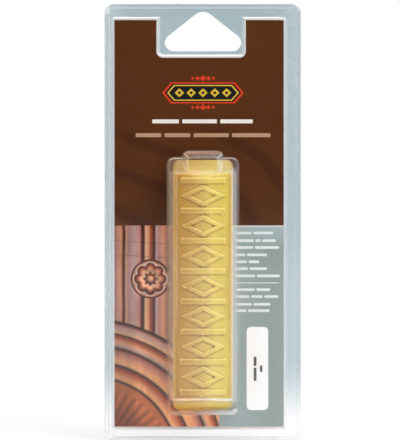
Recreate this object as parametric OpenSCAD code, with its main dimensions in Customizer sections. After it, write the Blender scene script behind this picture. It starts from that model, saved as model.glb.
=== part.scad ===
// Furniture repair wax stick in a hinged clear clamshell with a printed insert card.
// Every module draws in plan: X to the right, Y up the pack, Z towards the viewer, with the
// plane where the two clear halves meet at Z = 0. upright() then stands the pack on its tail,
// so that the finished part has +Z up and its front faces -Y. The origin is the point of the
// hang hole that rests on a display peg.

/* [Wax stick] */
// Length of the stick, measured on its back
stick_l = 102; // [80:1:125]
// Width of the stick, measured on its back
stick_w = 24.4; // [20:0.2:30]
// Thickness of the stick without its raised pattern
stick_d = 20.2; // [16:0.2:25]
// Radius of the gently crowned front
stick_crown_r = 45; // [36:1:56]
// Radius of the two long front edges
stick_edge_r = 4; // [3:0.25:5]
// Radius of the four upright corners
stick_corner_r = 2.6; // [2:0.1:3.2]
// Bevel across the front edge of each end
stick_bevel = 0.8; // [0.6:0.05:1]
// How far each side leans in from back to front
stick_side_lean = 0.3; // [0.2:0.05:0.4]
// How far each end leans in from back to front
stick_end_lean = 6.4; // [5.2:0.2:7.6]

/* [Raised pattern] */
// Number of lozenge rings along the front
lozenges = 7; // [5:1:9]
// Height of the pattern above the front
relief_h = 0.8; // [0.5:0.1:1.1]
// Width of the raised bars
relief_stroke = 2.2; // [1.8:0.1:2.6]
// Width of the lozenges' strokes as a share of the bars' width
ring_share = 0.7; // [0.55:0.05:0.85]
// Width of the pattern across the stick
relief_w = 17.6; // [14:0.2:19]
// Bare front left beyond the pattern at each end
relief_end_gap = 1.4; // [1:0.1:2]
// Bare front left between a lozenge and the bars beside it
relief_cell_gap = 0.7; // [0.4:0.1:1]

/* [Clear sheet] */
// Thickness of the clear sheet
sheet_t = 0.5; // [0.4:0.05:0.6]
// Clearance round the front of the stick
bubble_gap = 0.3; // [0.2:0.05:0.5]
// How far each side of the bubble leans in from back to front
bubble_side_lean = 1.6; // [1.2:0.1:2]
// Extra room above the top end of the stick
bubble_top_room = 0.5; // [0.4:0.05:0.7]
// Extra room below the bottom end of the stick
bubble_bottom_room = 1.7; // [1.3:0.1:2.1]
// Width of the raised key over the top end, at its foot
key_w = 16.6; // [14:0.2:19]
// How far the key reaches past the top end of the bubble
key_reach = 2.5; // [2:0.1:3]
// How far the key's front lies behind the bubble's front
key_drop = 1.4; // [1.2:0.1:1.8]
// How far each side of the key leans in
key_side_lean = 1.2; // [1:0.1:1.4]
// How far the end of the key leans in
key_end_lean = 2.2; // [1.8:0.1:2.6]
// Bevel along the key's front edges
key_bevel = 0.9; // [0.7:0.05:1.1]
// Bevel of the key's upright corners, measured along each wall
key_corner_bevel = 1.8; // [1.5:0.1:2.1]

/* [Insert card] */
// Width of the printed picture side, from the card's edge to the stick
picture_side_w = 23.8; // [19:0.2:29]
// Width of the printed text side, from the stick to the card's edge
text_side_w = 20.6; // [17:0.2:25]
// Height of the card above the stick
header_h = 56.6; // [46:0.2:68]
// Height of the card below the stick
footer_h = 6.5; // [5.2:0.1:7.8]
// Thickness of the board
card_t = 0.5; // [0.4:0.05:0.6]
// Distance of the card's top edge below the hang point
card_drop = 3.5; // [2.8:0.1:4.2]
// Radius of the inner corners of the card's notch
notch_corner_r = 2.6; // [2.3:0.1:3.2]

/* [Shade label] */
// Width of the label
label_w = 8.8; // [7:0.2:10.6]
// Length of the label
label_l = 33.8; // [27:0.2:41]
// Thickness of the label
label_t = 0.1; // [0.08:0.01:0.15]
// Radius of the label's corners
label_corner_r = 1.8; // [1.4:0.1:2.2]
// Distance of the label from the card's right edge
label_side_gap = 6.3; // [5:0.1:7.5]
// Distance of the label from the card's bottom edge
label_foot_gap = 6.7; // [5.4:0.1:8]

/* [Tray and flange] */
// Clearance between the card and the tray at each side
tray_side_clear = 0.2; // [0.15:0.05:0.3]
// Clearance between the card and the tray at each end and round the notch
tray_end_clear = 0.2; // [0.15:0.05:0.3]
// Height of the room behind the tray's face
tray_rise = 2; // [1.7:0.1:2.4]
// How far the tray's walls lean out towards the flange
tray_lean = 0.9; // [0.7:0.05:1.1]
// Radius of the corners of the tray's room, at its face
tray_corner_r = 0.6; // [0.5:0.05:0.8]
// Width of the flange left of the tray, up to the hinge
flange_left = 0.4; // [0.3:0.05:0.5]
// Width of the flange above the tray
flange_top = 5.2; // [4.2:0.1:6.2]
// Width of the flange right of the tray
flange_right = 5.4; // [4.3:0.1:6.5]
// Width of the flange below the tray
flange_bottom = 4.4; // [3.5:0.1:5.3]
// Radius of the pack's corners
pack_corner_r = 4; // [3.2:0.1:4.8]
// Width of the raised rim round the flange
rim_w = 1.8; // [1.6:0.05:2.1]
// Height of the raised rim above the joint plane
rim_h = 1.2; // [1.1:0.05:1.4]
// Clearance between the back half's panel and the tray
panel_gap = 0.3; // [0.2:0.05:0.35]

/* [Hang hole] */
// Width of the hang hole
hole_w = 31; // [26:0.2:37]
// Height of the hang hole
hole_h = 16; // [13:0.1:19]
// Radius at the top of the hang hole
hole_top_r = 5; // [4:0.1:6]
// Radius at the two lower corners of the hang hole
hole_corner_r = 3.5; // [2.8:0.1:4.2]
// Clear sheet between the hole and the card, on the left
land_left = 3.4; // [2.8:0.1:4]
// Clear sheet between the hole and the card, on the right
land_right = 1.9; // [1.8:0.1:2.3]
// Clear sheet between the hole and the card, below
land_below = 2.8; // [2.3:0.1:3.3]

/* [Hinge] */
// Outer radius of the rolled hinge bead
hinge_r = 1; // [0.85:0.05:1.2]
// Thickness of the thinned hinge web
hinge_t = 0.4; // [0.3:0.05:0.5]
// Clearance between the bead and the two halves
hinge_gap = 0.1; // [0.08:0.01:0.15]
// Half of the angle over which the bead is open
hinge_mouth = 30; // [25:1:34]

/* [Hidden] */
$fn = 48;
// How far cutting shapes run past what they cut
over = 1;
// How far round corners reach past the straight sides beside them, so that they cross cleanly
nip = 0.02;

clear_colour = [0.78, 0.86, 0.9, 0.35];
hinge_colour = [0.7, 0.8, 0.86, 0.45];
card_colour = "#543019";
label_colour = "#fbfbf8";
wax_colour = "#d9b566";

// The stick stands on the card with its back at seat_z
seat_z = tray_rise - label_t;
stick_top = -card_drop - header_h;
stick_bottom = stick_top - stick_l;
stick_front = stick_d + relief_h;

// Outside of the bubble: its front above the stick's back, and its top end
bubble_front = stick_front + bubble_gap + sheet_t;
bubble_top = stick_top + bubble_top_room + sheet_t;

// The card, and its notch round the hang hole
card_left = -stick_w / 2 - picture_side_w;
card_right = stick_w / 2 + text_side_w;
card_top = -card_drop;
card_bottom = stick_bottom - footer_h;
notch_left = -hole_w / 2 - land_left;
notch_right = hole_w / 2 + land_right;
notch_bottom = -hole_h - land_below;

// The tray's room at the joint plane, as [left, right, bottom, top]
tray_side = tray_side_clear + tray_lean;
tray_end = tray_end_clear + tray_lean;
tray_room = [
    card_left - tray_side, card_right + tray_side,
    card_bottom - tray_end, card_top + tray_end
];
tray_foot_r = tray_corner_r + tray_lean;
// The window in the tray that leaves the hang hole free, at the joint plane. Its round top
// corners lie past the tray.
window_foot_r = notch_corner_r - tray_end;
window_room = [
    notch_left + tray_end, notch_right - tray_end,
    notch_bottom + tray_end, tray_room[3] + 2 * window_foot_r + over
];

// The pack's outline
hinge_x = tray_room[0] - sheet_t - flange_left - hinge_gap - hinge_r;
pack_left = hinge_x - hinge_r;
pack_right = tray_room[1] + sheet_t + flange_right;
pack_bottom = tray_room[2] - sheet_t - flange_bottom;
pack_top = tray_room[3] + sheet_t + flange_top;
hinge_bottom = pack_bottom + pack_corner_r;
hinge_top = pack_top - pack_corner_r;
halves_left = hinge_x + hinge_r + hinge_gap;

// The back half's panel presses the card towards the tray
panel_rise = seat_z - card_t;
panel_lean = tray_lean * panel_rise / tray_rise;
panel_room = grown(tray_room, -panel_gap);
panel_window = grown(window_room, panel_gap);

// The rim's centreline lies half its width inside the outline
rim_inset = rim_w / 2;
rim_turn_r = pack_corner_r - rim_inset;

// Moves each side of a box outwards by the same distance
function grown(box, by) = [box[0] - by, box[1] + by, box[2] - by, box[3] + by];

// Turns the plan so that the pack stands upright with its front towards -Y
module upright() {
    rotate([90, 0, 0]) children();
}

// Extrudes a shape drawn in X and Z along Y, from bottom to top
module along_y(bottom, top) {
    translate([0, top, 0]) rotate([90, 0, 0]) linear_extrude(top - bottom) children();
}

// Extrudes a shape drawn in Y and Z along X, from left to right
module along_x(left, right) {
    translate([left, 0, 0]) rotate([90, 0, 90]) linear_extrude(right - left) children();
}

// A rectangle given as [left, right, bottom, top] with round corners
module round_rectangle(box, r) {
    w = box[1] - box[0];
    h = box[3] - box[2];
    translate([box[0] + r, box[2]]) square([w - 2 * r, h]);
    translate([box[0], box[2] + r]) square([w, h - 2 * r]);
    for (x = [box[0] + r, box[1] - r], y = [box[2] + r, box[3] - r])
        translate([x, y]) circle(r);
}

// A block whose four walls lean in by the same distance over its height, with corners that
// narrow with them. The box and the corner radius r hold at Z = 0. The block starts lower by
// the depth under, with its walls carried on.
module leaning_block(box, lean, height, r, under) {
    out = lean * under / height;
    foot = grown(box, out);
    face = grown(box, -lean);
    along_y(box[2] + r, box[3] - r)
        polygon([
            [foot[0], -under], [foot[1], -under], [face[1], height], [face[0], height]
        ]);
    along_x(box[0] + r, box[1] - r)
        polygon([
            [foot[2], -under], [foot[3], -under], [face[3], height], [face[2], height]
        ]);
    for (x = [box[0] + r, box[1] - r], y = [box[2] + r, box[3] - r])
        translate([x, y, -under])
            cylinder(h = height + under, r1 = r + out, r2 = r - lean);
}

// Centre of a round edge that touches a leaning side and a crowned front from inside
function edge_centre(half_w, lean, front, crown_r, edge_r) =
    let (
        crown = [0, front - crown_r],
        slant = norm([lean, front]),
        along = [-lean, front] / slant,
        inward = [-front, -lean] / slant,
        start = [half_w, 0] + edge_r * inward - crown,
        b = along * start,
        c = start * start - pow(crown_r - edge_r, 2)
    )
    crown + start + (sqrt(b * b - c) - b) * along;

// Cross-section of a bar with leaning sides, a crowned front and round front edges
module crowned_section(half_w, lean, front, crown_r, edge_r) {
    crown = [0, front - crown_r];
    centre = edge_centre(half_w, lean, front, crown_r, edge_r);
    side = centre + edge_r * [front, lean] / norm([lean, front]);
    outward = (centre - crown) / norm(centre - crown);
    tip = centre + 3 * edge_r * outward;
    polygon([
        [-half_w, 0], [half_w, 0], side, centre,
        [-centre[0], centre[1]], [-side[0], side[1]]
    ]);
    for (s = [-1, 1])
        translate([s * centre[0], centre[1]]) circle(edge_r);
    intersection() {
        translate(crown) circle(crown_r, $fn = 4 * $fn);
        polygon([centre, tip, [-tip[0], tip[1]], [-centre[0], centre[1]]]);
    }
}

// A bar's outline from low to high on the plane Z = 0. Each end leans in and then turns by 45
// degrees, a bevel below the front, and rises past it.
module bevelled_view(low, high, low_lean, high_lean, front, bevel) {
    reach = 1 - bevel / front;
    high_turn = high - high_lean * reach;
    low_turn = low + low_lean * reach;
    polygon([
        [low, 0], [high, 0], [high_turn, front - bevel],
        [high_turn - bevel - over, front + over], [low_turn + bevel + over, front + over],
        [low_turn, front - bevel]
    ]);
}

// What a round upright corner takes off a bar. The corner lies at half_w to the side s and at
// the end in Y on the way that the end faces.
module corner_cut(s, half_w, side_lean, end, way, end_lean, front, r) {
    u = [s * front, 0, side_lean] / norm([front, side_lean]);
    n = [0, way * front, end_lean] / norm([front, end_lean]);
    e = s * way * cross(u, n) / norm(cross(u, n));
    v = cross(e, u);
    face = [n * u, n * v];
    depth = r - nip;
    centre = [-depth, -depth * (1 - face[0]) / face[1]];
    multmatrix([
        [u[0], v[0], e[0], s * half_w],
        [u[1], v[1], e[1], end],
        [u[2], v[2], e[2], 0],
        [0, 0, 0, 1]
    ])
        translate([0, 0, -over]) linear_extrude(2 * over + norm([front, side_lean, end_lean]))
            difference() {
                polygon([centre, [0, centre[1]], -centre, centre + depth * face]);
                translate(centre) circle(r);
            }
}

// A bar on the plane Z = 0 with a crowned front, leaning sides, leaning and bevelled ends, and
// round edges along the front
module crowned_bar(w, lean, front, crown_r, edge_r, bottom, top, bottom_lean, top_lean, bevel) {
    intersection() {
        along_y(bottom - over, top + over)
            crowned_section(w / 2, lean, front, crown_r, edge_r);
        along_x(-w / 2 - over, w / 2 + over)
            bevelled_view(bottom, top, bottom_lean, top_lean, front, bevel);
    }
}

// A lozenge ring of the raised pattern, drawn round its centre
module lozenge_ring(w, h, stroke) {
    // the slope of the sides widens the stroke along each axis
    slant = norm([w, h]);
    inner_w = w - 2 * stroke * slant / h;
    inner_h = h - 2 * stroke * slant / w;
    difference() {
        polygon([[-w / 2, 0], [0, -h / 2], [w / 2, 0], [0, h / 2]]);
        polygon([[-inner_w / 2, 0], [0, -inner_h / 2], [inner_w / 2, 0], [0, inner_h / 2]]);
    }
}

// Outline of the raised pattern: bars across the stick with a lozenge between each two
module relief_outline() {
    top = stick_top - stick_end_lean - relief_end_gap;
    bottom = stick_bottom + stick_end_lean + relief_end_gap;
    pitch = (top - bottom - relief_stroke) / lozenges;
    ring_h = pitch - relief_stroke - 2 * relief_cell_gap;
    for (i = [0:lozenges])
        translate([-relief_w / 2, bottom + i * pitch]) square([relief_w, relief_stroke]);
    for (i = [0:lozenges - 1])
        translate([0, bottom + (i + 0.5) * pitch + relief_stroke / 2])
            lozenge_ring(relief_w, ring_h, relief_stroke * ring_share);
}

// The cast stick of wax, with its pattern raised on the crowned front
module wax_stick() {
    color(wax_colour) upright() translate([0, 0, seat_z]) {
        difference() {
            crowned_bar(
                stick_w, stick_side_lean, stick_d, stick_crown_r, stick_edge_r,
                stick_bottom, stick_top, stick_end_lean, stick_end_lean, stick_bevel
            );
            for (s = [-1, 1]) {
                corner_cut(
                    s, stick_w / 2, stick_side_lean, stick_top, 1, stick_end_lean,
                    stick_d, stick_corner_r
                );
                corner_cut(
                    s, stick_w / 2, stick_side_lean, stick_bottom, -1, stick_end_lean,
                    stick_d, stick_corner_r
                );
            }
        }
        intersection() {
            along_y(stick_bottom, stick_top)
                translate([0, stick_d - stick_crown_r])
                    circle(stick_crown_r + relief_h, $fn = 4 * $fn);
            translate([0, 0, stick_d / 2]) linear_extrude(stick_d) relief_outline();
        }
    }
}

// The bubble round the stick. inset is 0 for the outside and the sheet's thickness for the
// room inside.
module bubble_form(inset) {
    out = sheet_t - inset;
    front = bubble_front - inset;
    w = stick_w + 2 * (bubble_gap + bubble_side_lean + out);
    top = bubble_top - inset;
    bottom = stick_bottom - bubble_bottom_room - out;
    top_lean = stick_end_lean + bubble_top_room - bubble_gap;
    bottom_lean = stick_end_lean + bubble_bottom_room - bubble_gap;
    r = stick_corner_r + out;
    translate([0, 0, seat_z]) difference() {
        crowned_bar(
            w, bubble_side_lean, front, stick_crown_r + front - stick_d, stick_edge_r + out,
            bottom, top, bottom_lean, top_lean, stick_bevel
        );
        for (s = [-1, 1]) {
            corner_cut(s, w / 2, bubble_side_lean, top, 1, top_lean, front, r);
            corner_cut(s, w / 2, bubble_side_lean, bottom, -1, bottom_lean, front, r);
        }
    }
}

// The key over the bubble's top end: a block with leaning walls and bevelled edges
module key_form(inset) {
    half_w = key_w / 2 - inset;
    front = bubble_front - key_drop - inset;
    top = bubble_top + key_reach - inset;
    bottom = bubble_top - 2 * stick_end_lean;
    corner = key_corner_bevel - inset / 2;
    translate([0, 0, seat_z]) intersection() {
        along_y(bottom, top)
            bevelled_view(-half_w, half_w, key_side_lean, key_side_lean, front, key_bevel);
        along_x(-half_w, half_w)
            bevelled_view(bottom - 2 * front, top, 0, key_end_lean, front, key_bevel);
        linear_extrude(front)
            polygon([
                [-half_w, bottom], [half_w, bottom], [half_w, top - corner],
                [half_w - corner, top], [corner - half_w, top], [-half_w, top - corner]
            ]);
    }
}

// The window in the tray's face round the hang hole. Its walls lean out towards the viewer.
module window_form(grow) {
    past = 1 + over / (tray_rise + grow);
    leaning_block(
        grown(window_room, -grow), -tray_lean * past, (tray_rise + grow) * past,
        window_foot_r - grow, over
    );
}

// The tray that holds the card. grow is 0 for the room inside and the sheet's thickness for
// the outside, and the block starts lower than the joint plane by the depth under.
module tray_form(grow, under) {
    difference() {
        leaning_block(
            grown(tray_room, grow), tray_lean, tray_rise + grow, tray_foot_r + grow, under
        );
        window_form(grow);
    }
}

// The triangular hang hole: three round corners and the straight sides between them
module hang_hole() {
    low = [hole_w / 2 - hole_corner_r, hole_corner_r - hole_h];
    high = [0, -hole_top_r];
    // the side leaves the line between the corner centres by a small angle
    slope = atan2(high[1] - low[1], low[0])
        + asin((hole_top_r - hole_corner_r) / norm(low - high));
    out = [sin(slope), cos(slope)];
    side_high = high + (hole_top_r - nip) * out;
    side_low = low + (hole_corner_r - nip) * out;
    foot = nip - hole_h;
    for (s = [-1, 1])
        translate([s * low[0], low[1]]) circle(hole_corner_r);
    translate(high) circle(hole_top_r);
    polygon([
        high, side_high, side_low, low, [low[0], foot],
        [-low[0], foot], [-low[0], low[1]], [-side_low[0], side_low[1]],
        [-side_high[0], side_high[1]]
    ]);
}

// Section of the raised rim: a half round on legs that end lower than the joint plane by the
// depth under
module rim_section(half_w, h, under) {
    intersection() {
        translate([0, h - half_w]) circle(half_w);
        translate([-half_w, 0]) square([2 * half_w, h]);
    }
    translate([-half_w, -under]) square([2 * half_w, h - half_w + under]);
}

// The rim follows the pack's edge, apart from the hinge side
module rim_form(half_w, h, under) {
    turn_left = pack_left + pack_corner_r;
    turn_right = pack_right - pack_corner_r;
    for (y = [pack_bottom + rim_inset, pack_top - rim_inset])
        translate([0, y, 0]) along_x(turn_left, turn_right) rim_section(half_w, h, under);
    translate([pack_right - rim_inset, 0, 0])
        along_y(hinge_bottom, hinge_top) rim_section(half_w, h, under);
    for (corner = [
        [turn_right, hinge_top, 0], [turn_left, hinge_top, 90],
        [turn_left, hinge_bottom, 180], [turn_right, hinge_bottom, 270]
    ])
        translate([corner[0], corner[1], 0]) rotate([0, 0, corner[2]])
            rotate_extrude(angle = 90) translate([rim_turn_r, 0])
                rim_section(half_w, h, under, $fn = $fn / 2);
}

// Outline of the flange. The strip for the hinge is left out along the whole side or only
// between its bottom and top.
module flange_outline(bottom, top) {
    difference() {
        round_rectangle([pack_left, pack_right, pack_bottom, pack_top], pack_corner_r);
        hang_hole();
        translate([pack_left - over, bottom])
            square([halves_left - pack_left + over, top - bottom]);
    }
}

// The clear front half: flange, rim, tray and bubble formed from one sheet
module front_shell() {
    color(clear_colour) upright() difference() {
        union() {
            linear_extrude(sheet_t) flange_outline(hinge_bottom, hinge_top);
            rim_form(rim_w / 2, rim_h, 0);
            tray_form(sheet_t, 0);
            bubble_form(0);
            key_form(0);
        }
        rim_form(rim_w / 2 - sheet_t, rim_h - sheet_t, over);
        tray_form(0, over);
        bubble_form(sheet_t);
        key_form(sheet_t);
    }
}

// One surface of the back half's panel: its front with inset 0, or its back with the
// sheet's thickness. The block starts lower than its foot by the depth under.
module panel_form(inset, under) {
    past = 1 + over / panel_rise;
    translate([0, 0, -inset]) difference() {
        leaning_block(
            grown(panel_room, -inset), panel_lean, panel_rise, tray_foot_r - inset, under
        );
        leaning_block(
            grown(panel_window, inset), -panel_lean * past, panel_rise * past,
            window_foot_r + panel_gap + inset, over
        );
    }
}

// The clear back half: a flat flange and a shallow panel that enters the tray
module back_shell() {
    color(clear_colour) upright() difference() {
        union() {
            translate([0, 0, -sheet_t]) linear_extrude(sheet_t)
                flange_outline(pack_bottom - over, pack_top + over);
            panel_form(0, sheet_t / 2);
        }
        panel_form(sheet_t, over);
    }
}

// The hinge web, rolled into an open bead whose centre is the line that the halves turn on.
// Its short leg runs into the front half's flange.
module living_hinge() {
    color(hinge_colour) upright() translate([hinge_x, 0, 0]) along_y(hinge_bottom, hinge_top) {
        difference() {
            circle(hinge_r);
            circle(hinge_r - hinge_t);
            polygon([
                [0, 0],
                2 * hinge_r * [cos(hinge_mouth), sin(hinge_mouth)],
                2 * hinge_r * [cos(hinge_mouth), -sin(hinge_mouth)]
            ]);
        }
        translate([hinge_r - hinge_t, sheet_t - hinge_t])
            square([hinge_t + hinge_gap, hinge_t]);
    }
}

// The printed board with its notch round the hang hole
module insert_card() {
    color(card_colour) upright() translate([0, 0, seat_z - card_t]) linear_extrude(card_t)
        difference() {
            translate([card_left, card_bottom])
                square([card_right - card_left, card_top - card_bottom]);
            round_rectangle(
                [notch_left, notch_right, notch_bottom, card_top + 2 * notch_corner_r],
                notch_corner_r
            );
        }
}

// The paper label with the shade of the wax
module shade_label() {
    right = card_right - label_side_gap;
    bottom = card_bottom + label_foot_gap;
    color(label_colour) upright() translate([0, 0, seat_z]) linear_extrude(label_t)
        round_rectangle([right - label_w, right, bottom, bottom + label_l], label_corner_r);
}

front_shell();
back_shell();
living_hinge();
insert_card();
shade_label();
wax_stick();
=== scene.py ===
"""Looks for the furniture repair wax stick in its hinged clear pack.

The part's own frame has +Z up the pack, -Y towards the viewer, and the origin at the top of the
hang hole. Objects, lamps and meshes are in metres, and MM turns millimetres into metres. Places
in the materials, on the card and in the print are in millimetres.
"""
import math

import bmesh
import bpy
import numpy as np
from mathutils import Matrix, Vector, noise


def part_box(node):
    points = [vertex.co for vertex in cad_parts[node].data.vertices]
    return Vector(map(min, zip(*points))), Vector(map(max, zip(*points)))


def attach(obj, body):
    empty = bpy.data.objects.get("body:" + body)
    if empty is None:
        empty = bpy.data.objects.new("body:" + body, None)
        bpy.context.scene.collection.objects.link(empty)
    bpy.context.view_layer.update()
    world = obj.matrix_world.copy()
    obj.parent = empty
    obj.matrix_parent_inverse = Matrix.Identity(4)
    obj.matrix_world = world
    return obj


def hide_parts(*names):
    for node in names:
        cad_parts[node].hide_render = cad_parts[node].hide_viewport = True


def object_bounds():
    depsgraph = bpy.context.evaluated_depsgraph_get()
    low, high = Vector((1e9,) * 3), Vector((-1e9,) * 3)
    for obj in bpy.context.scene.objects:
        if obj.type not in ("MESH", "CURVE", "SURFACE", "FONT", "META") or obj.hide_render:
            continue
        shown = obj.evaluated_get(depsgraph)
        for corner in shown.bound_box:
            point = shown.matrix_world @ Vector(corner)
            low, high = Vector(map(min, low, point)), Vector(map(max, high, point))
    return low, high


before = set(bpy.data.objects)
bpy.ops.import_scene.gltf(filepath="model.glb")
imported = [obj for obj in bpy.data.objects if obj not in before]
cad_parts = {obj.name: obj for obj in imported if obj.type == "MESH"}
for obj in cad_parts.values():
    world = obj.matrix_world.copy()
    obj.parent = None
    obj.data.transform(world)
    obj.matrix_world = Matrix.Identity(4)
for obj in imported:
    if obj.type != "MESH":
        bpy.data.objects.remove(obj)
cad_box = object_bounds()

MM = 0.001
FRONT_BODY = "front_half"
CARD_LOW, CARD_HIGH = (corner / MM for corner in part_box("insert_card"))

# the photograph's frame
IMAGE_W, IMAGE_H = 400, 440
PIXEL_MM = 0.4071  # one pixel, at the pack
PACK_MID_X = 203.0  # the hang hole's middle, in pixels
HANG_Y = 12.0  # the hang hole's top, in pixels


# camera
def make_camera():
    """Straight on, through a long lens, with the pack where the photograph has it."""
    distance = 0.95
    pixel = PIXEL_MM * MM
    data = bpy.data.cameras.new("camera")
    data.sensor_fit = "AUTO"
    data.sensor_width = 36.0
    data.lens = data.sensor_width * distance / (IMAGE_H * pixel)
    data.clip_start = 0.01
    data.clip_end = 50.0
    cam = bpy.data.objects.new("camera", data)
    bpy.context.scene.collection.objects.link(cam)
    x = (IMAGE_W / 2 - PACK_MID_X) * pixel
    z = (HANG_Y - IMAGE_H / 2) * pixel
    cam.location = (x, -distance, z)
    cam.rotation_euler = (math.radians(90), 0, 0)
    bpy.context.scene.camera = cam


# node helpers
def srgb(r, g, b):
    """A colour given as it shows on screen, 0 to 255, in the shaders' linear values."""
    def linear(c):
        c /= 255
        return c / 12.92 if c <= 0.04045 else ((c + 0.055) / 1.055) ** 2.4
    return (linear(r), linear(g), linear(b), 1.0)


WHITE = (1.0, 1.0, 1.0, 1.0)


class Nodes:
    """Short calls that add shader nodes to one material or world."""

    def __init__(self, tree):
        self.tree = tree
        self.tree.nodes.clear()

    def add(self, kind, **settings):
        node = self.tree.nodes.new(kind)
        for name, value in settings.items():
            setattr(node, name, value)
        return node

    def put(self, value, socket):
        """Links a socket or sets a plain value."""
        if isinstance(value, bpy.types.NodeSocket):
            self.tree.links.new(value, socket)
        else:
            socket.default_value = value

    # numbers
    def math(self, operation, *values):
        node = self.add("ShaderNodeMath", operation=operation)
        for value, socket in zip(values, node.inputs):
            self.put(value, socket)
        return node.outputs[0]

    def times(self, first, *rest):
        """The product of its values."""
        for value in rest:
            first = self.math("MULTIPLY", first, value)
        return first

    def most(self, first, *rest):
        """The largest of its values."""
        for value in rest:
            first = self.math("MAXIMUM", first, value)
        return first

    def flipped(self, value):
        """1 minus the value."""
        return self.math("SUBTRACT", 1.0, value)

    def fade(self, factor, start, end):
        """A number that goes from start to end as the factor goes from 0 to 1."""
        return self.math("MULTIPLY_ADD", factor, end - start, start)

    def radius(self, a, b):
        """The distance from a centre of the point with coordinates a and b."""
        return self.math("SQRT", self.math("ADD", self.times(a, a), self.times(b, b)))

    def step(self, value, low, high):
        """0 at low, 1 at high, smooth between. High may be the lesser of the two."""
        node = self.add("ShaderNodeMapRange", interpolation_type="SMOOTHSTEP")
        self.put(value, node.inputs["Value"])
        self.put(low, node.inputs["From Min"])
        self.put(high, node.inputs["From Max"])
        return node.outputs["Result"]

    def inside(self, value, low, high, edge):
        """1 between low and high, 0 outside, with edges that wide."""
        rise = self.step(value, low - edge / 2, low + edge / 2)
        fall = self.step(value, high - edge / 2, high + edge / 2)
        return self.times(rise, self.flipped(fall))

    # colours
    def mix(self, factor, a, b, blend="MIX"):
        node = self.add("ShaderNodeMix", data_type="RGBA", blend_type=blend)
        self.put(factor, node.inputs["Factor"])
        self.put(a, node.inputs["A"])
        self.put(b, node.inputs["B"])
        return node.outputs["Result"]

    def ramp(self, factor, stops):
        node = self.add("ShaderNodeValToRGB")
        elements = node.color_ramp.elements
        while len(elements) > 1:
            elements.remove(elements[-1])
        for i, (place, colour) in enumerate(stops):
            element = elements[0] if i == 0 else elements.new(place)
            element.position = place
            element.color = colour
        self.put(factor, node.inputs["Fac"])
        return node.outputs["Color"]

    def scaled(self, colour, factor):
        """A colour made lighter or darker by a factor that may vary."""
        node = self.add("ShaderNodeVectorMath", operation="SCALE")
        self.put(colour, node.inputs[0])
        self.put(factor, node.inputs["Scale"])
        return node.outputs[0]

    # places and directions
    def split(self, vector):
        """The x, y and z of a vector."""
        node = self.add("ShaderNodeSeparateXYZ")
        self.put(vector, node.inputs[0])
        return tuple(node.outputs)

    def place(self):
        """The piece's own coordinates in millimetres: vector, x, y, z."""
        coords = self.add("ShaderNodeTexCoord").outputs["Object"]
        in_mm = self.scaled(coords, 1 / MM)
        return (in_mm, *self.split(in_mm))

    def normal(self):
        return self.add("ShaderNodeNewGeometry").outputs["Normal"]

    def stretched(self, vector, sx, sy, sz):
        node = self.add("ShaderNodeMapping")
        self.put(vector, node.inputs["Vector"])
        node.inputs["Scale"].default_value = (sx, sy, sz)
        return node.outputs[0]

    def moved(self, vector, dx, dy, dz):
        node = self.add("ShaderNodeVectorMath", operation="ADD")
        self.put(vector, node.inputs[0])
        node.inputs[1].default_value = (dx, dy, dz)
        return node.outputs[0]

    # textures
    def noise(self, vector, scale, detail=3.0, rough=0.5, distortion=0.0):
        node = self.add("ShaderNodeTexNoise")
        self.put(vector, node.inputs["Vector"])
        node.inputs["Scale"].default_value = scale
        node.inputs["Detail"].default_value = detail
        node.inputs["Roughness"].default_value = rough
        node.inputs["Distortion"].default_value = distortion
        return node.outputs["Fac"]

    def bump(self, height, distance, strength, normal=None):
        node = self.add("ShaderNodeBump")
        self.put(height, node.inputs["Height"])
        node.inputs["Distance"].default_value = distance
        node.inputs["Strength"].default_value = strength
        if normal is not None:
            self.put(normal, node.inputs["Normal"])
        return node.outputs["Normal"]

    # shaders
    def shader(self, kind, colour, **values):
        """A plain shader. Values go on the sockets of their names."""
        node = self.add("ShaderNode" + kind)
        self.put(colour, node.inputs["Color"])
        for name, value in values.items():
            self.put(value, node.inputs[name])
        return node.outputs[0]

    def principled(self, **values):
        """A Principled shader. Values go on the sockets of their names."""
        node = self.add("ShaderNodeBsdfPrincipled")
        for name, value in values.items():
            self.put(value, node.inputs[name.replace("_", " ")])
        return node.outputs[0]

    def mix_shaders(self, factor, a, b):
        node = self.add("ShaderNodeMixShader")
        for value, socket in zip((factor, a, b), node.inputs):
            self.put(value, socket)
        return node.outputs[0]

    def surface(self, shader):
        output = self.add("ShaderNodeOutputMaterial")
        self.put(shader, output.inputs["Surface"])


def new_material(name):
    material = bpy.data.materials.new(name)
    material.use_nodes = True
    return material, Nodes(material.node_tree)


# clear sheet
# Places on the sheet, as pairs for step or inside. Y falls towards the viewer.
FLANGE_Y = (-1.4, 1.4)
TRAY_Y = (-2.6, 1.4)
TRAY_RIGHT_X = (30.0, 32.0)
PANEL_Y = (-1.6, -0.7)
PALE_SIDES_X = (28.0, 37.0)
PALE_LOW_Z = (-140.0, -172.0)
BUBBLE_Y = (-3.0, -4.0)
BUBBLE_FRONT_Y = (-14.0, -17.0)
LOW_END_Z = (-145.0, -155.0)
KEY_END_Z = (-58.6, -57.8)
RIGHT_EDGE_X = (11.2, 12.9)
LEFT_EDGE_X = (-12.2, -11.7)
LOW_EDGE_Z = (-156.4, -155.7)
LOW_EDGE_X = (-12.0, 12.0)
TOP_EDGE_Z = (-67.2, -64.9)
TOP_EDGE_X = (-11.0, 11.0)
# painted highlights on the walls, as shares of white; a foot is where a wall of the bubble meets
# the tray
TRAY_ENDS_HIGHLIGHT = 0.7
TRAY_RIGHT_SHARE = 0.55
BUBBLE_HIGHLIGHT = (0.08, 0.22)  # at the foot and at the front
LEFT_HIGHLIGHT = (0.03, 0.15)  # added on the left, at the front and at the foot
BUBBLE_ENDS_SHARE = 0.25
KEY_END_HIGHLIGHT = 0.16
LOW_FOOT_HIGHLIGHT = (0.33, 0.75)  # at the foot of the lower end, on the left and on the right
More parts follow.
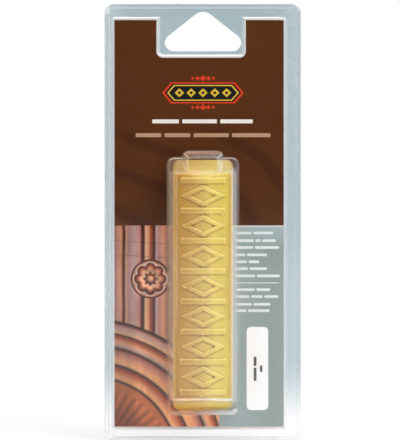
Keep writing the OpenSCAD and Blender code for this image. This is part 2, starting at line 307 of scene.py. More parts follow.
# how bright the painted edge highlights are, and how strong the mirror is
FORMED_EDGE_R = 0.49  # stays under the sheet's thickness
EDGE_LIGHT = (0.2, 0.7)  # at the foot and at the front
TOP_EDGE_SHARE = 0.4
RIGHT_EDGE_LIGHT, LEFT_EDGE_LIGHT, LOW_EDGE_LIGHT = 0.17, 0.2, 0.4
MIRROR = (0.035, 0.485)  # straight on and at a grazing angle
LOW_END_MIRROR_SHARE = 0.25


class Sheet:
    """What the steps of the clear material share: the place on the sheet, and masks, which are
    1 on one stretch of it and 0 on the rest."""

    def __init__(self, n):
        self.n = n
        self.vector, self.x, self.y, self.z = n.place()
        self.normal = n.normal()
        _, normal_y, normal_z = n.split(self.normal)
        self.upright = n.flipped(n.step(n.math("ABSOLUTE", normal_y), 0.35, 0.9))
        self.ends = n.step(n.math("ABSOLUTE", normal_z), 0.2, 0.9)
        self.tray = n.inside(self.y, *TRAY_Y, 0.2)
        self.bubble_ends = n.times(self.ends, n.step(self.y, *BUBBLE_Y))
        self.low_end = n.times(self.bubble_ends, n.step(self.z, *LOW_END_Z))
        self.key_end = n.times(self.bubble_ends, n.step(self.z, *KEY_END_Z))
        self.bubble_front = n.step(self.y, *BUBBLE_FRONT_Y)


def painted_wall_highlight(s, wall_highlight_share):
    """How much painted highlight the walls get, from 0 to 1. What faces the viewer is clear."""
    n = s.n
    # painted highlight: the tray's low walls get more of it than the bubble's, most of all along
    # its ends
    low = n.fade(s.ends, wall_highlight_share, TRAY_ENDS_HIGHLIGHT)
    low = n.times(low, n.fade(n.step(s.x, *TRAY_RIGHT_X), 1.0, TRAY_RIGHT_SHARE))
    # painted highlight on the bubble's sides near its front, and on its left side at its foot
    # too
    high = n.fade(n.step(s.y, -8.0, -21.0), *BUBBLE_HIGHLIGHT)
    left = n.fade(n.step(s.y, -15.0, -6.0), *LEFT_HIGHLIGHT)
    high = n.math("MULTIPLY_ADD", n.step(s.x, 0.0, -9.0), left, high)
    # less painted highlight on its ends, apart from the key's end and the foot of the lower end
    high = n.times(high, n.fade(s.bubble_ends, 1.0, BUBBLE_ENDS_SHARE))
    high = n.math("MULTIPLY_ADD", s.key_end, KEY_END_HIGHLIGHT, high)
    foot = n.times(s.low_end, n.step(s.y, -12.0, -5.0))
    foot = n.times(foot, n.fade(n.step(s.x, -4.0, 9.0), *LOW_FOOT_HIGHLIGHT))
    high = n.most(high, foot)
    return n.times(s.upright, n.mix(s.tray, high, low))


def painted_edge_highlight(s, rounded):
    """Painted highlights along the edges, as a share of white from 0 to 1. Formed edges are
    round, which the normal of the Bevel node shows by its difference from the true one."""
    n = s.n
    match = n.add("ShaderNodeVectorMath", operation="DOT_PRODUCT")
    n.put(rounded, match.inputs[0])
    n.put(s.normal, match.inputs[1])
    edge = n.step(match.outputs["Value"], 0.998, 0.93)
    edge = n.times(edge, n.fade(n.step(s.y, -3.0, -15.0), *EDGE_LIGHT))
    # the painted highlight is dimmest on the bubble's top front edge
    top = n.times(n.inside(s.x, *TOP_EDGE_X, 1.0), n.inside(s.z, *TOP_EDGE_Z, 0.3))
    top = n.times(top, s.bubble_front)
    edge = n.times(edge, n.fade(top, 1.0, TOP_EDGE_SHARE))
    # painted highlight lines along its other front edges: the lower one is the brightest, and
    # the right one is the widest
    right = n.times(n.inside(s.x, *RIGHT_EDGE_X, 0.9), RIGHT_EDGE_LIGHT)
    left = n.times(n.inside(s.x, *LEFT_EDGE_X, 0.3), LEFT_EDGE_LIGHT)
    low = n.times(n.inside(s.z, *LOW_EDGE_Z, 0.3), LOW_EDGE_LIGHT)
    low = n.times(low, n.inside(s.x, *LOW_EDGE_X, 0.4))
    return n.most(edge, n.times(s.bubble_front, n.most(right, left, low)))


def sheet_tone(s, flange_shade):
    """The colour of what shows through the sheet: a painted bluish grey shade on the flange,
    paler towards its sides and its lower end, and clear over the card, in front and behind."""
    n = s.n
    panel = n.times(
        n.inside(s.x, CARD_LOW.x, CARD_HIGH.x, 0.1), n.inside(s.y, *PANEL_Y, 0.2),
        n.inside(s.z, CARD_LOW.z, CARD_HIGH.z, 0.1),
    )
    # painted shade: the flange is tinted bluish grey, paler towards its sides and its lower end
    flange = n.times(n.inside(s.y, *FLANGE_Y, 0.4), n.flipped(panel))
    mottled = n.noise(n.stretched(s.vector, 0.03, 0.03, 0.015), 1.0, 2.0)
    tone = n.mix(mottled, flange_shade, srgb(235, 240, 242))
    sides = n.step(n.math("ABSOLUTE", s.x), *PALE_SIDES_X)
    tone = n.mix(n.times(sides, 0.6), tone, srgb(239, 243, 245))
    tone = n.mix(n.step(s.z, *PALE_LOW_Z), tone, WHITE)
    return n.mix(flange, srgb(253, 253, 253), tone)


def painted_highlight_tone(s):
    """The colour of the painted highlight, as the wax and the lights would tint it: warm on the
    left and on the key, cool on the right, near white on the tray."""
    n = s.n
    tone = n.mix(n.step(s.x, -9.0, 9.0), srgb(255, 226, 194), srgb(242, 246, 250))
    tone = n.mix(n.times(s.key_end, 0.9), tone, srgb(255, 210, 178))
    return n.mix(s.tray, tone, srgb(243, 239, 236))


def make_clear(name, flange_shade, wall_highlight_share):
    """Thin clear sheet: what lies behind shows through it, and it mirrors the lights. Painted
    highlights lie on its walls and edges as a share of lamp-lit white, and a painted shade on
    its flange; veil is the share of painted highlight on the tray's side walls."""
    material, n = new_material(name)
    s = Sheet(n)
    bevel = n.add("ShaderNodeBevel", samples=6)
    bevel.inputs["Radius"].default_value = FORMED_EDGE_R * MM
    rounded = bevel.outputs["Normal"]
    ripple = n.noise(s.vector, 0.35, 2.0)
    normal = n.bump(ripple, 0.02 * MM, 0.5, normal=rounded)
    # the mirror grows towards a grazing view, alike on both faces of the sheet
    weight = n.add("ShaderNodeLayerWeight")
    weight.inputs["Blend"].default_value = 0.5
    n.put(normal, weight.inputs["Normal"])
    grazing = n.math("POWER", weight.outputs["Facing"], 5.0)
    shine = n.fade(grazing, *MIRROR)
    shine = n.times(shine, n.fade(s.low_end, 1.0, LOW_END_MIRROR_SHARE))
    clear = n.shader("BsdfTransparent", sheet_tone(s, flange_shade))
    gloss = n.shader("BsdfGlossy", WHITE, Roughness=0.09, Normal=normal)
    painted_highlight = n.shader("BsdfDiffuse", painted_highlight_tone(s))
    # painted highlights: a share of lamp-lit white on the walls and along the edges
    share = n.most(painted_wall_highlight(s, wall_highlight_share), painted_edge_highlight(s, rounded))
    n.surface(n.mix_shaders(share, n.mix_shaders(shine, clear, gloss), painted_highlight))
    return material


# wax
WAX_SPAN = 26.0  # the width that the tones below cover
WAX_SHADED_TONES = [
    (0.12, srgb(188, 139, 48)), (0.26, srgb(200, 156, 74)), (0.48, srgb(211, 180, 99)),
    (0.64, srgb(230, 208, 110)), (0.80, srgb(220, 197, 86)), (0.92, srgb(210, 179, 84)),
]
WAX_LIT_FOOT_Z = (-156.5, -160.5)


def make_wax():
    """Cast filler wax: honey yellow with soft clouds, faint pits and a waxy sheen, with painted
    light and shade in its colour.
    """
    material, n = new_material("wax")
    vector, x, _, z = n.place()
    # painted light and shade: the cast runs from a shaded tan on its left to a lit lemon right
    # of its middle
    clouds = n.noise(n.stretched(vector, 0.12, 0.12, 0.05), 1.0, 3.0, 0.55, 0.6)
    side = n.math("MULTIPLY_ADD", x, 1 / WAX_SPAN, 0.5)
    side = n.math("ADD", side, n.fade(clouds, -0.15, 0.15))
    colour = n.ramp(side, WAX_SHADED_TONES)
    # painted light: the lower end, turned from the lamps, is painted brighter and a purer yellow
    foot = n.step(z, *WAX_LIT_FOOT_Z)
    colour = n.scaled(colour, n.fade(foot, 1.0, 1.5))
    colour = n.mix(n.times(foot, 0.55), colour, srgb(255, 224, 24))
    # painted light: its long sides and its top end are painted a lighter honey yellow
    normal_x, _, normal_z = n.split(n.normal())
    lit_flank = n.step(n.math("ABSOLUTE", normal_x), 0.6, 0.95)
    colour = n.mix(lit_flank, colour, srgb(240, 204, 104))
    lit_top = n.times(n.step(normal_z, 0.3, 0.8), 0.4)
    colour = n.mix(lit_top, colour, srgb(240, 222, 150))
    specks = n.step(n.noise(vector, 2.2, 2.0, 0.6), 0.62, 0.75)
    colour = n.mix(specks, colour, srgb(200, 154, 80))
    # painted shade in the hollows of the raised pattern, and a painted highlight along its edges
    bend = n.add("ShaderNodeNewGeometry").outputs["Pointiness"]
    colour = n.mix(n.step(bend, 0.496, 0.45), colour, srgb(164, 116, 52))
    painted_ridge_light = n.times(n.step(bend, 0.505, 0.55), 0.6)
    colour = n.mix(painted_ridge_light, colour, srgb(244, 222, 150))
    pits = n.noise(vector, 1.1, 4.0, 0.6)
    n.surface(n.principled(
        Base_Color=colour, Roughness=n.fade(pits, 0.36, 0.52), IOR=1.44,
        Normal=n.bump(pits, 0.05 * MM, 0.6),
        Subsurface_Weight=0.12, Subsurface_Radius=(0.004, 0.0022, 0.001),
        Subsurface_Scale=0.2, Coat_Weight=0.1, Coat_Roughness=0.3,
    ))
    return material


# printed picture
# Places in the picture are from the card's lower left corner.
DARK, MAROON = srgb(54, 20, 14), srgb(98, 42, 30)
PINK, PEACH = srgb(206, 158, 150), srgb(236, 186, 150)
LILAC, ORANGE = srgb(206, 184, 186), srgb(178, 88, 40)
ROSE, SAND = srgb(176, 116, 104), srgb(240, 202, 160)

BOARDS_W = 42.5
BOARDS = [
    (0.000, ROSE), (0.020, PINK), (0.062, PEACH), (0.078, ORANGE), (0.088, DARK),
    (0.100, MAROON), (0.112, SAND), (0.130, PINK), (0.180, LILAC), (0.235, PINK),
    (0.250, ROSE), (0.262, DARK), (0.285, MAROON), (0.296, SAND), (0.320, PEACH),
    (0.345, ORANGE), (0.372, MAROON), (0.384, DARK), (0.398, LILAC), (0.430, PINK),
    (0.470, PEACH), (0.500, ROSE), (0.520, DARK), (0.560, ORANGE), (0.640, PEACH),
    (0.720, LILAC), (0.800, MAROON), (0.900, PINK), (1.000, ROSE),
]
JOINT_SLANT = 0.06
JOINTS = [(75.4, 75.7), (69.6, 70.0)]

MOULDING_OUT, MOULDING_BELOW = 10.0, 16.0  # its centre, left of the corner and below it
MOULDING_R = 60.0
MOULDING = [
    (0.585, srgb(206, 140, 84)), (0.600, MAROON), (0.608, DARK), (0.622, SAND),
    (0.640, PEACH), (0.680, ORANGE), (0.700, MAROON), (0.708, DARK), (0.722, SAND),
    (0.750, PEACH), (0.775, PINK), (0.800, ROSE), (0.812, MAROON), (0.820, DARK),
    (0.838, LILAC), (0.860, PEACH), (0.890, ORANGE), (0.912, DARK), (0.922, SAND),
    (0.945, LILAC), (0.965, PINK), (0.982, MAROON), (0.992, DARK), (1.000, DARK),
]
FAN_R = 35.0
FAN_TONES_R = (22.0, 34.0)
REEDS = 56.0  # in a full turn
REEDS_R = (14.0, 33.0)

ROSETTE_X, ROSETTE_Z, ROSETTE_R = 14.6, 60.0, 8.0
ROSETTE_LOBES = 8
LOBES_R = (2.2, 6.8)
LOBE_DEPTH = 0.65
ROSETTE_RING = 4.4  # from one turned ring to the next
LIGHT_ANGLE = math.radians(50)
ROSETTE = [
    (0.00, SAND), (0.10, PEACH), (0.18, ORANGE), (0.23, DARK), (0.28, ROSE), (0.34, SAND),
    (0.46, PEACH), (0.58, ORANGE), (0.68, MAROON), (0.73, DARK), (0.77, LILAC),
    (0.84, SAND), (0.90, ROSE), (0.95, DARK), (1.00, MAROON),
]


def make_panelling(n, u, v, sway):
    """Boards that run up the panel, and a moulding that sweeps round a reeded fan."""
    boards = n.ramp(n.math("DIVIDE", n.math("ADD", u, sway), BOARDS_W), BOARDS)
    du = n.math("ADD", n.math("ADD", u, sway), MOULDING_OUT)
    dv = n.math("ADD", v, MOULDING_BELOW)
    far = n.radius(du, dv)
    fan = n.mix(n.step(far, *FAN_TONES_R), srgb(140, 74, 38), srgb(198, 126, 76))
    sweep = n.ramp(n.math("DIVIDE", far, MOULDING_R), MOULDING)
    sweep = n.mix(n.step(far, FAN_R, FAN_R + 0.4), fan, sweep)
    colour = n.mix(n.step(far, MOULDING_R - 0.3, MOULDING_R + 0.2), sweep, boards)
    reeds = n.math("SINE", n.times(n.math("ARCTAN2", dv, du), REEDS))
    reeds = n.times(reeds, n.inside(far, *REEDS_R, 1.5))
    colour = n.scaled(colour, n.fade(reeds, 1.0, 1.3))
    slanted = n.math("MULTIPLY_ADD", u, JOINT_SLANT, v)
    joints = n.most(*(n.inside(slanted, *joint, 0.2) for joint in JOINTS))
    joints = n.times(joints, n.step(far, MOULDING_R, MOULDING_R + 0.4))
    return n.scaled(colour, n.fade(joints, 1.0, 0.6))


def add_rosette(n, u, v, colour):
    """A turned rosette over the panel, lit from its upper right."""
    ru = n.math("SUBTRACT", u, ROSETTE_X)
    rv = n.math("SUBTRACT", v, ROSETTE_Z)
    ring = n.radius(ru, rv)
    angle = n.math("ARCTAN2", rv, ru)
    lobes = n.math("ABSOLUTE", n.math("COSINE", n.times(angle, ROSETTE_LOBES / 2)))
    lobes = n.times(n.fade(lobes, -LOBE_DEPTH, LOBE_DEPTH), n.inside(ring, *LOBES_R, 1.6))
    disc = n.ramp(n.math("DIVIDE", n.math("SUBTRACT", ring, lobes), ROSETTE_R), ROSETTE)
    tilt = n.math("COSINE", n.math("SUBTRACT", angle, LIGHT_ANGLE))
    slope = n.math("SINE", n.times(ring, math.tau / ROSETTE_RING))
    disc = n.scaled(disc, n.fade(n.times(tilt, slope), 1.0, 1.35))
    return n.mix(n.step(ring, ROSETTE_R - 0.1, ROSETTE_R + 0.1), disc, colour)


def make_picture(n, x, z, vector):
    """A printed view of wood panelling: boards, a sweeping moulding and a turned rosette."""
    u = n.math("SUBTRACT", x, CARD_LOW.x)
    v = n.math("SUBTRACT", z, CARD_LOW.z)
    sway = n.noise(n.stretched(vector, 0.05, 0.0, 0.05), 1.0, 2.0)
    colour = make_panelling(n, u, v, n.fade(sway, -0.4, 0.4))
    colour = add_rosette(n, u, v, colour)
    grain = n.noise(n.stretched(vector, 1.6, 0.0, 0.10), 1.0, 5.0, 0.65, 0.8)
    stain = n.noise(n.stretched(vector, 0.10, 0.0, 0.06), 1.0, 3.0)
    pores = n.step(n.noise(n.stretched(vector, 1.4, 0.0, 0.5), 1.0, 2.0), 0.66, 0.74)
    # the panel lies in shade along its left edge, and light falls on its lower right corner
    lit = n.fade(n.step(u, 5.5, 11.0), 0.68, 1.14)
    corner = n.times(n.step(u, 14.0, 28.0), n.step(v, 16.0, 5.0))
    tone = n.times(
        n.fade(grain, 0.50, 1.25), n.fade(stain, 0.75, 1.25), n.fade(pores, 1.0, 0.65),
        lit, n.fade(corner, 1.0, 1.35),
    )
    warm = n.mix(n.step(v, 58.0, 4.0), (0.98, 0.83, 0.78, 1.0), (1.0, 0.70, 0.48, 1.0))
    return n.scaled(n.mix(1.0, colour, warm, "MULTIPLY"), tone)


# card, inks and label
HEAD_Z = -86.9  # the brown head ends here
RINGS_Z = (-40.0, -58.0)
PICTURE_RIGHT_X = 6.5
GREEN_X = (8.0, 30.0)
GREEN_TOP_Z = (-98.0, -88.0)
LINE_H = 0.6  # of the pale line under the head
PRINT_EDGE = 0.12  # how far a printed edge is soft to each side
PAPER_BUMP = 0.01 * MM
# the label's bars, in x and in z
LABEL_BARS = [
    ((20.6, 21.7), (-150.0, -144.6)), ((20.6, 21.7), (-144.0, -140.2)),
    ((23.1, 24.1), (-146.4, -143.8)),
]


def make_brown(n, vector, z):
    """The card's head: brown, with growth rings a shade darker in its lower part."""
    patches = n.noise(n.stretched(vector, 0.04, 0.0, 0.04), 1.0, 2.0)
    brown = n.mix(patches, srgb(80, 42, 14), srgb(88, 48, 18))
    rings = n.add("ShaderNodeTexWave", wave_type="RINGS", rings_direction="Y")
    centred = n.stretched(n.moved(vector, 62.0, 0.0, 110.0), 0.016, 0.0, 0.022)
    n.put(centred, rings.inputs["Vector"])
    rings.inputs["Scale"].default_value = 1.0
    rings.inputs["Distortion"].default_value = 2.4
    rings.inputs["Detail"].default_value = 1.0
    band = n.step(rings.outputs["Fac"], 0.72, 0.9)
    return n.mix(n.times(band, n.step(z, *RINGS_Z)), brown, srgb(72, 36, 14))


def make_card():
    """The printed board: brown head, wood picture on the left, grey-green text side."""
    material, n = new_material("printed_card")
    vector, x, _, z = n.place()
    head = n.step(z, HEAD_Z - PRINT_EDGE, HEAD_Z + PRINT_EDGE)
    right = n.step(x, PICTURE_RIGHT_X - PRINT_EDGE, PICTURE_RIGHT_X + PRINT_EDGE)
    green = n.mix(n.step(x, *GREEN_X), srgb(159, 176, 179), srgb(140, 155, 153))
    green = n.mix(n.step(z, *GREEN_TOP_Z), green, srgb(165, 180, 184))
    line = n.times(right, n.inside(z, HEAD_Z - LINE_H, HEAD_Z, 0.15))
    low = n.mix(right, make_picture(n, x, z, vector), green)
    low = n.mix(line, low, srgb(214, 216, 210))
    front = n.mix(head, low, make_brown(n, vector, z))
    # only the front is printed; the back and the cut edges are grey board
    printed = n.math("LESS_THAN", n.split(n.normal())[1], -0.5)
    fibre = n.noise(vector, 1.6, 4.0, 0.7)
    board = n.mix(fibre, srgb(176, 168, 154), srgb(206, 199, 186))
    n.surface(n.principled(
        Base_Color=n.mix(printed, board, front), Roughness=n.fade(fibre, 0.5, 0.65),
        Specular_IOR_Level=0.06, Normal=n.bump(fibre, PAPER_BUMP, 0.4),
    ))
    return material


def make_ink(name, colour):
    """A print colour with the paper's faint fibre in it."""
    material, n = new_material(name)
    fibre = n.noise(n.place()[0], 2.0, 3.0, 0.6)
    darker = tuple(0.86 * c for c in colour[:3]) + (1.0,)
    n.surface(n.principled(
        Base_Color=n.mix(fibre, colour, darker), Roughness=n.fade(fibre, 0.45, 0.55),
        Specular_IOR_Level=0.15,
    ))
    return material


def make_label():
    """White paper label with two short rows of plain bars, turned along its length."""
    material, n = new_material("label_paper")
    vector, x, _, z = n.place()
    fibre = n.noise(vector, 1.8, 4.0, 0.6)
    paper = n.mix(fibre, WHITE, srgb(250, 251, 253))
    printed = n.most(*(
        n.times(n.inside(x, *across, 0.1), n.inside(z, *along, 0.1))
        for across, along in LABEL_BARS
    ))
    n.surface(n.principled(
        Base_Color=n.mix(printed, paper, srgb(60, 60, 60)), Roughness=0.6,
        Normal=n.bump(fibre, PAPER_BUMP, 0.3),
    ))
    return material


# mesh helpers
def new_piece(name, mesh, material, body):
    """Adds a mesh as a piece that rides on a body, with the material in its slot."""
    piece = bpy.data.objects.new(name, mesh)
    bpy.context.scene.collection.objects.link(piece)
    mesh.materials.clear()
    mesh.materials.append(material)
    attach(piece, body)
    return piece


def rounded_outline(x0, x1, z0, z1, r, steps=4):
    """Corner points of a rectangle with round corners, anticlockwise in X and Z."""
    points = []
    for cx, cz, start in (
        (x1 - r, z1 - r, 0), (x0 + r, z1 - r, 90), (x0 + r, z0 + r, 180), (x1 - r, z0 + r, 270),
    ):
        for i in range(steps + 1):
            a = math.radians(start + 90 * i / steps)
            points.append((cx + r * math.cos(a), cz + r * math.sin(a)))
    return points


def hexagon(half_w, half_h, nose, z):
    """A plaque's outline, with pointed ends, round the middle line at z."""
    return [
        (half_w, z), (half_w - nose, z + half_h), (nose - half_w, z + half_h),
        (-half_w, z), (nose - half_w, z - half_h), (half_w - nose, z - half_h),
    ]


def diamond(x, z, half_w, half_h):
    return [(x + half_w, z), (x, z + half_h), (x - half_w, z), (x, z - half_h)]


def add_plate(bm, outline, y_back, y_front, hole=None):
    """A thin printed shape given by its outline in millimetres, with an optional hole of the
    same number of points."""
    def ring(points, y):
        return [bm.verts.new((px * MM, y * MM, pz * MM)) for px, pz in points]

    back, front = ring(outline, y_back), ring(outline, y_front)
    count = len(outline)
    if hole is None:
        bm.faces.new(front)
        bm.faces.new(back[::-1])
    else:
        hole_back, hole_front = ring(hole, y_back), ring(hole, y_front)
    for i in range(count):
        j = (i + 1) % count
        bm.faces.new((back[i], back[j], front[j], front[i]))
        if hole is not None:
            bm.faces.new((front[i], front[j], hole_front[j], hole_front[i]))
            bm.faces.new((back[j], back[i], hole_back[i], hole_back[j]))
            bm.faces.new((hole_back[j], hole_back[i], hole_front[i], hole_front[j]))


def plates_mesh(name, plates):
    """One mesh of several thin printed shapes."""
    bm = bmesh.new()
    for plate in plates:
        add_plate(bm, *plate)
    bmesh.ops.recalc_face_normals(bm, faces=bm.faces)
    mesh = bpy.data.meshes.new(name)
    bm.to_mesh(mesh)
    bm.free()
    return mesh


# print on the card
CARD_FRONT = -1.9
INK = 0.02  # how far a layer of print stands proud
# the two titles: height on the card, left end, and where the bars end
TITLE = (-44.6, -20.6, (-9.8, 5.6, 20.2))
SUBTITLE = (-50.2, -27.3, (-17.0, -5.2, 10.4, 27.4))
TITLE_GAP = 1.4  # between two bars
TITLE_H = 1.6
# the small text: each line's row in the photograph, and where its bars end
TEXT_LEFT = 13.6
TEXT_GAP = 0.7
TEXT_H = 1.1
TEXT_CORNER = 0.4
TEXT_ROWS = [
    (233.0, (19.8, 28.5)), (240.6, (20.6, 23.4, 29.6)), (247.4, (20.4, 30.9)),
    (254.8, (17.2, 26.0)), (261.7, (17.8, 22.8)), (268.6, (18.2, 26.0)),
    (275.8, (21.2, 31.2)), (289.5, (21.0, 27.3)), (296.4, (18.8, 24.2, 30.5)),
    (304.1, (19.8, 27.3)), (310.5, (17.6, 27.0)),
]
RULE_ROW = 282.8
RULE_RIGHT = 30.8
RULE_H = 0.35

PLAQUE_Z = -33.0
# half width, half height and nose of the plaque's outlines, from the outside in
PLAQUE_RIM = (16.6, 4.3, 3.6)
PLAQUE_FIELD = (15.6, 3.75, 3.2)
PLAQUE_LINE_OUT = (14.6, 3.2, 2.8)
PLAQUE_LINE_IN = (13.9, 2.75, 2.45)
LOZENGE_STEP = 4.8
LOZENGE_OUT = (1.9, 1.8)
LOZENGE_IN = (0.8, 0.75)
STUDS = [(-4.2, 0.7), (-2.2, 0.95), (0.0, 1.3), (2.2, 0.95), (4.2, 0.7)]  # x, half size
STUDS_OUT = 5.9  # from the plaque's middle line, above and below


def row_z(row):
    """The height on the card of a row of the photograph."""
    return (HANG_Y - row) * PIXEL_MM


def bars(z, left, ends, gap, h, r=0.25):
    """One line of plain bars that stand for printed words, from left to each bar's end."""
    plates = []
    r = min(r, h / 2.01)  # a bar's ends stay a hair short of half circles
    for end in ends:
        outline = rounded_outline(left, end, z - h / 2, z + h / 2, r, 3)
        plates.append((outline, CARD_FRONT, CARD_FRONT - INK))
        left = end + gap
    return plates


def make_print():
    """Title, text and plaque on the card, as plain shapes that stand proud by a layer of ink."""
    def printed(name, ink, plates):
        new_piece(name, plates_mesh(name, plates), ink, FRONT_BODY)

    white = make_ink("ink_white", srgb(240, 236, 230))
    tan = make_ink("ink_tan", srgb(188, 150, 122))
    pale = make_ink("ink_pale", srgb(232, 240, 240))
    red = make_ink("ink_red", srgb(214, 60, 28))
    gold = make_ink("ink_gold", srgb(226, 190, 60))
    black = make_ink("ink_black", srgb(20, 20, 22))

    printed("title_bars", white, bars(*TITLE, TITLE_GAP, TITLE_H))
    printed("subtitle_bars", tan, bars(*SUBTITLE, TITLE_GAP, TITLE_H))
    text = []
    for row, ends in TEXT_ROWS:
        text += bars(row_z(row), TEXT_LEFT, ends, TEXT_GAP, TEXT_H, TEXT_CORNER)
    text += bars(row_z(RULE_ROW), TEXT_LEFT, (RULE_RIGHT,), 0.0, RULE_H)
    printed("text_bars", pale, text)

    layer_1, layer_2 = CARD_FRONT - INK, CARD_FRONT - 2 * INK
    rim, field, line_out, line_in = (
        hexagon(*sizes, PLAQUE_Z)
        for sizes in (PLAQUE_RIM, PLAQUE_FIELD, PLAQUE_LINE_OUT, PLAQUE_LINE_IN)
    )
    printed("plaque_frame", red, [(rim, CARD_FRONT, layer_1, field)])
    printed("plaque_field", black, [(field, CARD_FRONT, layer_1)])
    inlay = [(line_out, CARD_FRONT, layer_2, line_in)]
    for i in range(-2, 3):
        x = i * LOZENGE_STEP
        lozenge, hole = (diamond(x, PLAQUE_Z, *sizes) for sizes in (LOZENGE_OUT, LOZENGE_IN))
        inlay.append((lozenge, CARD_FRONT, layer_2, hole))
    printed("plaque_inlay", gold, inlay)
    printed("plaque_studs", red, [
        (diamond(x, PLAQUE_Z + side * STUDS_OUT, size, size), CARD_FRONT, layer_1)
        for side in (1, -1) for x, size in STUDS
    ])


# pieces that stand for solids
BOARD_GAP = 0.03 * MM
BOARD_BACK = 0.1 * MM  # points this near the back belong to it
LABEL_T = 0.07
LABEL_CORNER = 1.8


def make_board(material):
    """The CAD card, its back drawn in by a hair so that it shows through the rear panel."""
    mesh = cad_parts["insert_card"].data.copy()
    mesh.name = "card_board"
    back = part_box("insert_card")[1].y
    for vertex in mesh.vertices:
        if vertex.co.y > back - BOARD_BACK:
            vertex.co.y = back - BOARD_GAP
    piece = new_piece("card_board", mesh, material, FRONT_BODY)
    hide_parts("insert_card")


def make_label_paper(material):
    """The paper label, a hair thinner than its gap, so that its face shows through the sheet."""
    low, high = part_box("shade_label")
    outline = rounded_outline(low.x / MM, high.x / MM, low.z / MM, high.z / MM, LABEL_CORNER)
    mesh = plates_mesh("label", [(outline, CARD_FRONT, CARD_FRONT - LABEL_T)])
    piece = new_piece("label", mesh, material, FRONT_BODY)
    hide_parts("shade_label")


def softened(source, name):
    """A copy of a CAD mesh with every edge softened, as poured wax has."""
    work = bpy.data.objects.new("wax_work", source.data.copy())
    bpy.context.scene.collection.objects.link(work)
    remesh = work.modifiers.new("remesh", "REMESH")
    remesh.mode = "VOXEL"
    remesh.voxel_size = 0.3 * MM
    smooth = work.modifiers.new("smooth", "SMOOTH")
    smooth.factor = 0.5
    smooth.iterations = 6
    thin = work.modifiers.new("thin", "DECIMATE")
    thin.ratio = 0.4
    bpy.context.view_layer.update()
    graph = bpy.context.evaluated_depsgraph_get()
    mesh = bpy.data.meshes.new_from_object(work.evaluated_get(graph))
    bpy.data.objects.remove(work)
    mesh.name = name
    return mesh


def make_wax_stick(material):
    """The cast stick, with slight hollows, as wax draws in while it sets."""
    mesh = softened(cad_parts["wax_stick"], "wax_cast")
    low, high = (np.array(c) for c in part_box("wax_stick"))
    count = len(mesh.vertices)
    place, normal = np.empty(count * 3), np.empty(count * 3)
    mesh.vertices.foreach_get("co", place)
    mesh.vertices.foreach_get("normal", normal)
    place, normal = place.reshape(-1, 3), normal.reshape(-1, 3)
    # the flat back stays as it is
    cloud_size, hollow, flat_back = 9 * MM, 0.10 * MM, 0.5 * MM
    clouds = np.array([noise.noise(Vector(p) / cloud_size) for p in place])
    sink = hollow * (0.5 + 0.5 * clouds) * (place[:, 1] < high[1] - flat_back)
    place = np.clip(place - normal * sink[:, None], low, high)
    mesh.vertices.foreach_set("co", place.ravel())
    mesh.shade_smooth()
    piece = new_piece("wax_cast", mesh, material, FRONT_BODY)
    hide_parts("wax_stick")


# stage and light
FLOOR_HALF = 6.0
FLOOR_GAP = 0.05 * MM  # below the pack
FLOOR_NEAR, FLOOR_FAR = 200.0, 520.0  # the floor turns white between these distances


def make_floor_material():
    """Matte where it is lit, with a share of plain white that grows away from the pack."""
    material, n = new_material("floor")
    far = n.add("ShaderNodeVectorMath", operation="LENGTH")
    n.put(n.place()[0], far.inputs[0])
    path = n.add("ShaderNodeLightPath").outputs
    seen = n.most(path["Is Camera Ray"], path["Is Glossy Ray"], path["Is Transmission Ray"])
    spread = n.fade(n.step(far.outputs["Value"], FLOOR_NEAR, FLOOR_FAR), 0.7, 1.0)
    matte = n.shader("BsdfDiffuse", (0.9, 0.9, 0.9, 1.0))
    n.surface(n.mix_shaders(n.times(seen, spread), matte, n.shader("Emission", WHITE)))
    return material


def make_stage():
    """A wide pale floor, a hair below the pack."""
    mesh = bpy.data.meshes.new("floor")
    z = cad_box[0].z - FLOOR_GAP
    corners = [(-1, -1), (1, -1), (1, 1), (-1, 1)]
    mesh.from_pydata(
        [(x * FLOOR_HALF, y * FLOOR_HALF, z) for x, y in corners], [], [(0, 1, 2, 3)])
    floor = bpy.data.objects.new("floor", mesh)
    bpy.context.scene.collection.objects.link(floor)
    mesh.materials.append(make_floor_material())


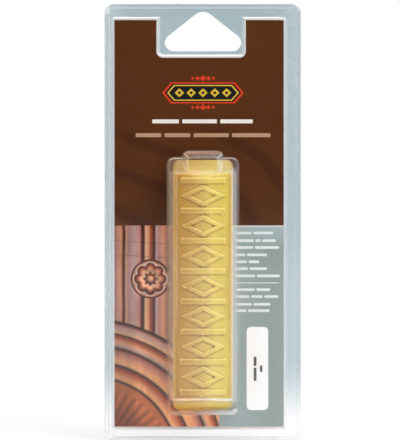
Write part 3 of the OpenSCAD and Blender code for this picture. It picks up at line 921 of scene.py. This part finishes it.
def make_world():
    """White to the eye, a low even light on the part, and in the clear sheet's mirror dim on
    the viewer's side and pale behind."""
    world = bpy.data.worlds.new("world")
    bpy.context.scene.world = world
    world.use_nodes = True
    n = Nodes(world.node_tree)
    low, dim, pale = (0.11, 0.112, 0.12, 1), (0.03, 0.03, 0.035, 1), (0.55, 0.57, 0.6, 1)
    _, behind, _ = n.split(n.add("ShaderNodeTexCoord").outputs["Generated"])
    mirrored = n.mix(n.step(behind, 0.1, 0.9), dim, pale)
    path = n.add("ShaderNodeLightPath").outputs
    ambient = n.mix(path["Is Glossy Ray"], low, mirrored)
    seen = n.most(path["Is Camera Ray"], path["Is Transmission Ray"])
    background = n.shader("Background", n.mix(seen, ambient, WHITE), Strength=1.0)
    output = n.add("ShaderNodeOutputWorld")
    n.put(background, output.inputs["Surface"])


def make_lamp(name, place, target, size, power, colour=(1, 1, 1), mirrored=True):
    """A soft lamp of that width and height that looks at the target."""
    data = bpy.data.lights.new(name, "AREA")
    data.shape = "RECTANGLE"
    data.size, data.size_y = size
    data.energy = power
    data.color = colour
    lamp = bpy.data.objects.new(name, data)
    bpy.context.scene.collection.objects.link(lamp)
    lamp.location = place
    lamp.visible_glossy = mirrored
    aim = Vector(target) - Vector(place)
    lamp.rotation_euler = aim.to_track_quat("-Z", "Y").to_euler()


def make_lights():
    """A key from the upper right, a weak warm fill from the left, a soft top and back lamp, and
    a small one for the bubble's lower end."""
    middle, foot = (0, 0, -0.09), (0, 0, -0.16)
    warm, warmer = (1.0, 0.99, 0.965), (1.0, 0.92, 0.84)
    make_lamp("key", (0.60, -0.70, 0.55), middle, (0.30, 0.5), 6.3, warm)
    make_lamp("fill", (-0.8, -0.8, 0.05), middle, (0.4, 0.7), 1.9, warmer)
    make_lamp("top", (0.05, -0.25, 0.75), middle, (0.7, 0.4), 7.0, mirrored=False)
    make_lamp("back", (-0.35, 0.85, 0.40), middle, (0.6, 0.6), 6.0, mirrored=False)
    make_lamp("low", (0.20, -0.55, -0.10), foot, (0.3, 0.1), 0.25, mirrored=False)


# build
def dress_solids():
    """The shells and the hinge keep their CAD meshes and get the clear materials."""
    clear = make_clear("clear_sheet", srgb(226, 234, 236), wall_highlight_share=0.2)
    hinge = make_clear("hinge_sheet", srgb(236, 240, 244), wall_highlight_share=0.5)
    for name, material in (
        ("front_shell", clear), ("back_shell", clear), ("living_hinge", hinge),
    ):
        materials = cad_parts[name].data.materials
        materials.clear()
        materials.append(material)


make_camera()
make_stage()
make_world()
make_lights()
dress_solids()
make_wax_stick(make_wax())
make_board(make_card())
make_label_paper(make_label())
make_print()
bpy.context.scene.view_settings.view_transform = "Standard"
